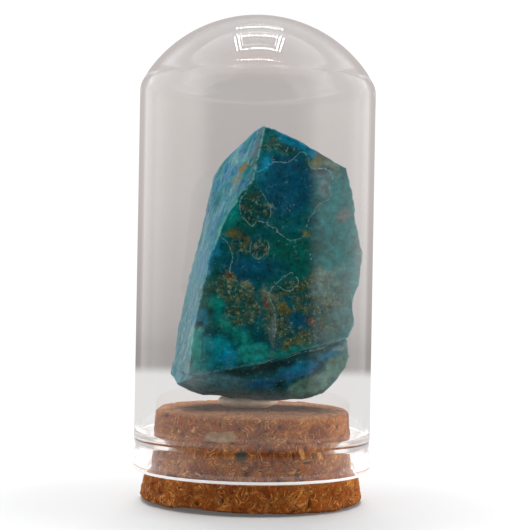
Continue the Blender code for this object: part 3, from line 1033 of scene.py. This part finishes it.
def opal_material():
    made, tree, shader = new_tree("blue_opal")
    place = place_mm(tree)
    grain = node(tree, "ShaderNodeAttribute", attribute_name="grain").outputs["Vector"]
    left = smooth_step(tree, field(tree, "left"), 0.4, 0.6)
    facing = maths(tree, "SUBTRACT", 1.0, left)
    cloud = clouds(tree, place, 1.5, 4.0, 0.6)
    fine = clouds(tree, place, 0.45, 3.0, 0.6)
    colour = mixed(tree, left, ramp(tree, cloud, FRONT_CLOUDS), left_face_colour(tree, place, grain))
    colour = zone_colours(tree, place, cloud, colour)
    colour = mottled(tree, place, fine, facing, colour)
    colour = grain_marks(tree, place, cloud, fine, colour)
    colour = specks_and_threads(tree, place, cloud, fine, facing, colour)
    colour = veins_and_edges(tree, cloud, fine, colour)
    put(tree, shader.inputs["Base Color"], colour)
    put(tree, shader.inputs["Roughness"], spread(tree, fine, 0.3, 0.7, 0.24, 0.4))
    put(tree, shader.inputs["IOR"], OPAL_IOR)
    put(tree, shader.inputs["Specular IOR Level"], 0.2)
    relief = maths(tree, "ADD", fine, times(tree, clouds(tree, grain, 0.35), left))
    make_bumpy(tree, shader, relief, 0.35, 0.05)
    return made


def make_opal():
    mesh = stone_mesh()
    mesh.name = "blue_opal"
    shape_stone(mesh)
    mesh.shade_smooth()
    mesh.materials.clear()
    mesh.materials.append(opal_material())
    obj = bpy.data.objects.new("blue_opal", mesh)
    bpy.context.scene.collection.objects.link(obj)
    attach(obj, "root")
    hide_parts("opal")


# ================================================================ stage
def tent_walls(tree, around):
    """The tent's colour for each angle from the camera's side, and 1 where a wall stands."""
    def edge(angle, degrees):
        return smooth_step(tree, angle, *(math.radians(end) for end in degrees))

    walls = maths(tree, "MAXIMUM", edge(around, OPENING_RIGHT_DEG), edge(around, OPENING_LEFT_DEG))
    rightward = maths(tree, "GREATER_THAN", around, 0.0)
    dim = times(tree, rightward, maths(tree, "SUBTRACT", 1.0, edge(around, RIGHT_WALL_DEG)))
    wall = mixed(tree, dim, (*WALL_LIGHT, 1), (*RIGHT_WALL_LIGHT, 1))
    colour = mixed(tree, walls, (*OPENING_LIGHT, 1), wall)
    back = edge(maths(tree, "ABSOLUTE", around), BACK_EDGE_DEG)
    return mixed(tree, back, colour, (*BACK_LIGHT, 1)), walls


def sky():
    """A light tent: pale walls, a grey back, a dim opening in front, and white for the camera."""
    world = bpy.data.worlds.new("tent")
    bpy.context.scene.world = world
    world.use_nodes = True
    tree = world.node_tree
    tree.nodes.clear()
    way = node(tree, "ShaderNodeTexCoord").outputs["Generated"]
    x, y, z = node(tree, "ShaderNodeSeparateXYZ", {"Vector": way}).outputs
    colour, walls = tent_walls(tree, maths(tree, "ARCTAN2", x, times(tree, y, -1.0)))
    fade = ramp(tree, spread(tree, z, -0.1, 0.1, 0.0, 1.0),
                [(place, (grey, grey, grey)) for place, grey in WALL_FADE])
    colour = mixed(tree, 1.0, colour, fade, "MULTIPLY")
    beside = times(tree, walls, smooth_step(tree, z, *WALL_FOOT))
    ground = maths(tree, "MAXIMUM", beside, smooth_step(tree, z, *HORIZON))
    colour = mixed(tree, ground, colour, (*FLOOR_LIGHT, 1))
    colour = mixed(tree, smooth_step(tree, z, *TOP_EDGE), colour, (*TOP_LIGHT, 1))
    rays = node(tree, "ShaderNodeLightPath")
    colour = mixed(tree, rays.outputs["Is Camera Ray"], colour, (*BACKDROP, 1))
    background = node(tree, "ShaderNodeBackground", {"Color": colour})
    node(tree, "ShaderNodeOutputWorld", {"Surface": background.outputs[0]})


def floor():
    """A pale disc under the object. A painted glow that grows away from the axis fades it into the white
    backdrop, and a faint even painted glow lifts the shadows on it.
    """
    angles = [math.tau * i / FLOOR_STEPS for i in range(FLOOR_STEPS)]
    verts = [(FLOOR_RADIUS * math.cos(angle), FLOOR_RADIUS * math.sin(angle), 0) for angle in angles]
    obj = mesh_object("floor", verts, [list(range(FLOOR_STEPS))])
    made, tree, shader = new_tree("floor")
    put(tree, shader.inputs["Base Color"], (*FLOOR_COLOUR, 1))
    put(tree, shader.inputs["Roughness"], 0.8)
    distance = node(tree, "ShaderNodeVectorMath", {0: place_mm(tree)}, operation="LENGTH").outputs[1]
    put(tree, shader.inputs["Emission Color"], (1, 1, 1, 1))
    glow = maths(tree, "ADD", smooth_step(tree, distance, *FLOOR_FADE), FLOOR_GLOW)
    put(tree, shader.inputs["Emission Strength"], glow)
    obj.data.materials.append(made)


def lamp(name, watts, size, place):
    """An area lamp that faces the frame's origin, and shows in no reflection."""
    data = bpy.data.lights.new(name, "AREA")
    data.shape = "RECTANGLE"
    data.size, data.size_y = size
    data.energy = watts
    obj = bpy.data.objects.new(name, data)
    obj.location = place
    obj.rotation_euler = Vector(place).to_track_quat("Z", "Y").to_euler()
    obj.visible_camera = False
    obj.visible_glossy = False
    obj.visible_transmission = False
    bpy.context.scene.collection.objects.link(obj)


def led_places():
    """Centres of the small lamps: rows along X, columns between the first two rows, a front row."""
    left, right = LED_COLUMNS[1:3]
    front, back = LED_ROWS[:2]
    front_y, front_reach = LED_FRONT_ROW
    places = []
    for i in range(LEDS_PER_ROW):
        along = i / (LEDS_PER_ROW - 1)
        places += [(left + (right - left) * along, y) for y in LED_ROWS]
        places += [(x, front + (back - front) * along) for x in LED_COLUMNS]
        places.append(((2 * along - 1) * front_reach, front_y))
    return places


def led_ring():
    """Rows of small lamps overhead. They only show as glints."""
    half_x, half_y = LED_SIZE[0] / 2, LED_SIZE[1] / 2
    verts, faces = [], []
    for x, y in led_places():
        faces.append([len(verts) + corner for corner in range(4)])
        verts += [(x - half_x, y - half_y, LED_HEIGHT), (x - half_x, y + half_y, LED_HEIGHT),
                  (x + half_x, y + half_y, LED_HEIGHT), (x + half_x, y - half_y, LED_HEIGHT)]
    obj = mesh_object("led_ring", verts, faces)
    made, tree, shader = new_tree("led")
    put(tree, shader.inputs["Base Color"], (0, 0, 0, 1))
    put(tree, shader.inputs["Emission Color"], (1, 1, 1, 1))
    put(tree, shader.inputs["Emission Strength"], LED_STRENGTH)
    obj.data.materials.append(made)
    obj.visible_diffuse = False
    obj.visible_camera = False


def camera():
    data = bpy.data.cameras.new("camera")
    data.sensor_width = SENSOR
    data.lens = SENSOR * FOCAL_PX / PHOTO_SIDE_PX
    data.clip_start = 0.01
    obj = bpy.data.objects.new("camera", data)
    obj.location = Vector(CAMERA_PLACE) * MM
    upright = Euler((math.radians(90), 0, 0)).to_matrix()
    rolled = upright @ Matrix.Rotation(math.radians(CAMERA_ROLL_DEG), 3, "Z")
    obj.rotation_euler = rolled.to_euler()
    bpy.context.scene.collection.objects.link(obj)
    bpy.context.scene.camera = obj


def settings():
    """Plain colours, and enough bounces for the light that the glass wall traps."""
    scene = bpy.context.scene
    scene.view_settings.view_transform = "Standard"
    scene.cycles.caustics_reflective = False
    scene.cycles.caustics_refractive = False
    scene.cycles.max_bounces = BOUNCES
    scene.cycles.transmission_bounces = BOUNCES
    scene.cycles.glossy_bounces = BOUNCES


make_glass()
make_cork()
make_putty()
make_opal()
sky()
floor()
for name, watts, size, place in LAMPS:
    lamp(name, watts, size, place)
led_ring()
camera()
settings()
